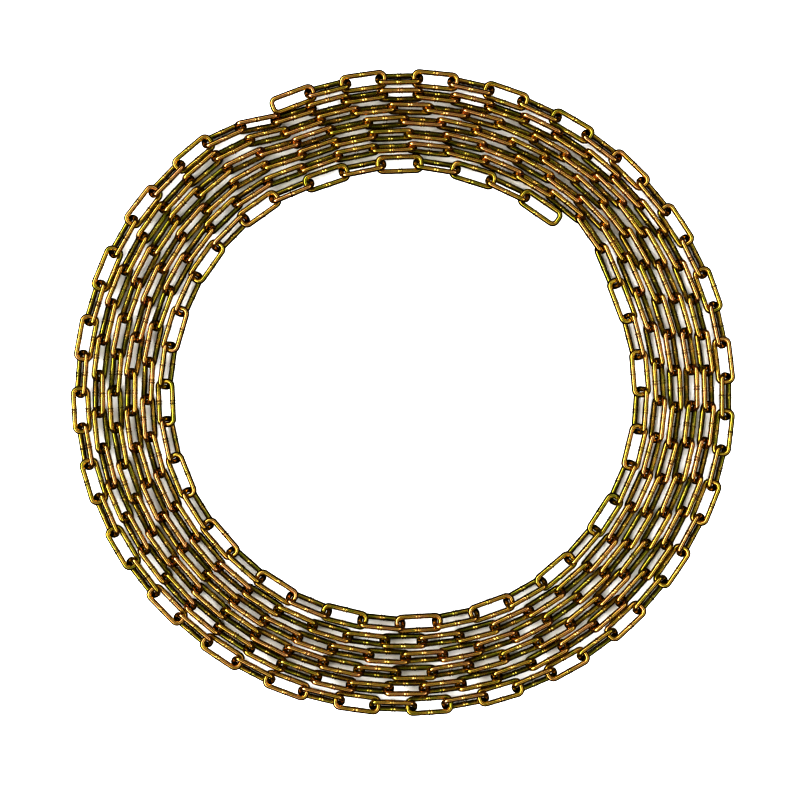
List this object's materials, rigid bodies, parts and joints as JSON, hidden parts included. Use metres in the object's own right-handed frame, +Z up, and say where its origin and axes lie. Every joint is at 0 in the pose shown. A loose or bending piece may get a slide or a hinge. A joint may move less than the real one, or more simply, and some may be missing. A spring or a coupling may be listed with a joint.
{
  "type": "coil of chain",
  "caption": "Length of yellow zinc-plated long-link steel chain laid on the floor as a flat, slightly oval coil of side-by-side turns with an open middle.",
  "frame": {"origin": "on the floor under the middle of the coil's box", "axes": "+Z up, square to the flat coil; +X along the coil's longer diameter, to the right in the picture; +Y towards the picture's top edge"},
  "size_m": [0.559, 0.5446, 0.0158],
  "materials": {
    "yellow_zinc_steel": "bright yellow chromate zinc plating on drawn and welded steel wire, gold with green and pinkish brown tints"
  },
  "bodies": {
    "root": {"outer_end_link": "yellow_zinc_steel", "turn_1_run_1": "yellow_zinc_steel", "turn_1_run_2": "yellow_zinc_steel", "turn_1_run_3": "yellow_zinc_steel", "turn_1_run_4": "yellow_zinc_steel", "turn_2_run_1": "yellow_zinc_steel", "turn_2_run_2": "yellow_zinc_steel", "turn_2_run_3": "yellow_zinc_steel", "turn_2_run_4": "yellow_zinc_steel", "turn_3_run_1": "yellow_zinc_steel", "turn_3_run_2": "yellow_zinc_steel", "turn_3_run_3": "yellow_zinc_steel", "turn_3_run_4": "yellow_zinc_steel", "turn_4_run_1": "yellow_zinc_steel", "turn_4_run_2": "yellow_zinc_steel", "turn_4_run_3": "yellow_zinc_steel", "turn_4_run_4": "yellow_zinc_steel", "turn_5_run_1": "yellow_zinc_steel", "turn_5_run_2": "yellow_zinc_steel", "turn_5_run_3": "yellow_zinc_steel", "turn_5_run_4": "yellow_zinc_steel", "turn_6_run_1": "yellow_zinc_steel", "turn_6_run_2": "yellow_zinc_steel", "turn_6_run_3": "yellow_zinc_steel", "turn_6_run_4": "yellow_zinc_steel", "turn_7_run_1": "yellow_zinc_steel", "inner_end_link": "yellow_zinc_steel"}
  },
  "joints": []
}
